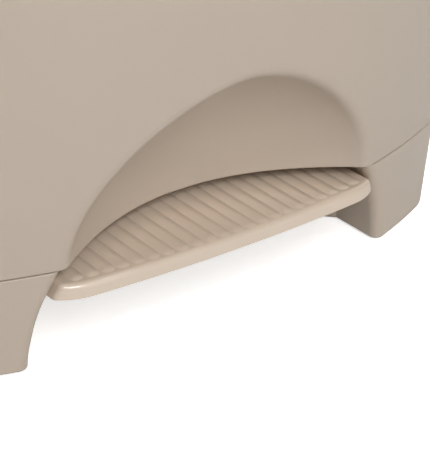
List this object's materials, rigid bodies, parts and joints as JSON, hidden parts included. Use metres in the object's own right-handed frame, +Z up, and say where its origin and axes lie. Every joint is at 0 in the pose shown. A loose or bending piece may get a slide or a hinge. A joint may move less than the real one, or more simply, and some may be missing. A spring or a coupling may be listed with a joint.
{
  "type": "hooded cat litter box",
  "caption": "Hooded cat litter box: footed base, flared tub with an arched scoop over a ribbed step on a pull-out tray, and a hood with flap, clips, handle and filter.",
  "frame": {"origin": "on the floor, in the middle of the outline", "axes": "+Z up, the entry and the step face -Y, X is across, and X = 0 is the plane of symmetry"},
  "size_m": [0.5608, 0.5694, 0.5265],
  "materials": {
    "shell": "warm taupe, moulded, satin gloss with a faint pearl",
    "step": "warm taupe, moulded, satin gloss, ribbed",
    "trim": "darker taupe, moulded",
    "inner": "taupe, fine matte texture",
    "flap": "smoked translucent plastic",
    "pin": "plain steel",
    "rubber": "soft grip",
    "pad": "quilted absorbent pad",
    "charcoal": "carbon-filled foam"
  },
  "bodies": {
    "base": {"base_shell": "shell", "rubber_feet": "rubber", "tray_rail_left": "inner", "tray_rail_right": "inner", "rail_screws": "pin"},
    "tray": {"tray_pan": "inner", "step_plate": "step", "tray_screws": "pin", "absorbent_pad": "pad"},
    "tub": {"litter_tub": "shell", "sifting_grate": "inner"},
    "hood": {"hood_shell": "shell", "entry_frame": "trim", "latch_pin_left": "pin", "latch_pin_right": "pin", "handle_pins": "pin", "filter_cassette": "inner", "charcoal_filter": "charcoal", "filter_cover_pin": "pin"},
    "door": {"door_panel": "flap", "door_hinge_bar": "trim", "door_rivets": "pin"},
    "clip_left": {"latch_left": "trim"},
    "clip_right": {"latch_right": "trim"},
    "handle": {"carry_handle": "trim"},
    "cover": {"filter_cover": "trim"}
  },
  "joints": [
    {"name": "tray_slide", "type": "slide", "parent": "base", "child": "tray", "axis": [0, -1, 0], "range_m": [0, 0.3]},
    {"name": "tub_lift", "type": "slide", "parent": "base", "child": "tub", "axis": [0, 0, 1], "range_m": [0, 0.2]},
    {"name": "hood_lift", "type": "slide", "parent": "tub", "child": "hood", "axis": [0, 0, 1], "range_m": [0, 0.25]},
    {"name": "door_swing", "type": "hinge", "parent": "hood", "child": "door", "pos_m": [0, -0.238, 0.462], "axis": [1, 0, 0], "range_deg": [-66, 66]},
    {"name": "clip_left_swing", "type": "hinge", "parent": "hood", "child": "clip_left", "pos_m": [-0.2722, 0, 0.322], "axis": [0, 1, 0], "range_deg": [0, 75]},
    {"name": "clip_right_swing", "type": "hinge", "parent": "hood", "child": "clip_right", "pos_m": [0.2722, 0, 0.322], "axis": [0, -1, 0], "range_deg": [0, 75]},
    {"name": "handle_swing", "type": "hinge", "parent": "hood", "child": "handle", "pos_m": [0, 0.052, 0.511], "axis": [1, 0, 0], "range_deg": [0, 95]},
    {"name": "cover_swing", "type": "hinge", "parent": "hood", "child": "cover", "pos_m": [0, 0.0042, 0.5234], "axis": [-1, 0, 0], "range_deg": [0, 110]}
  ]
}
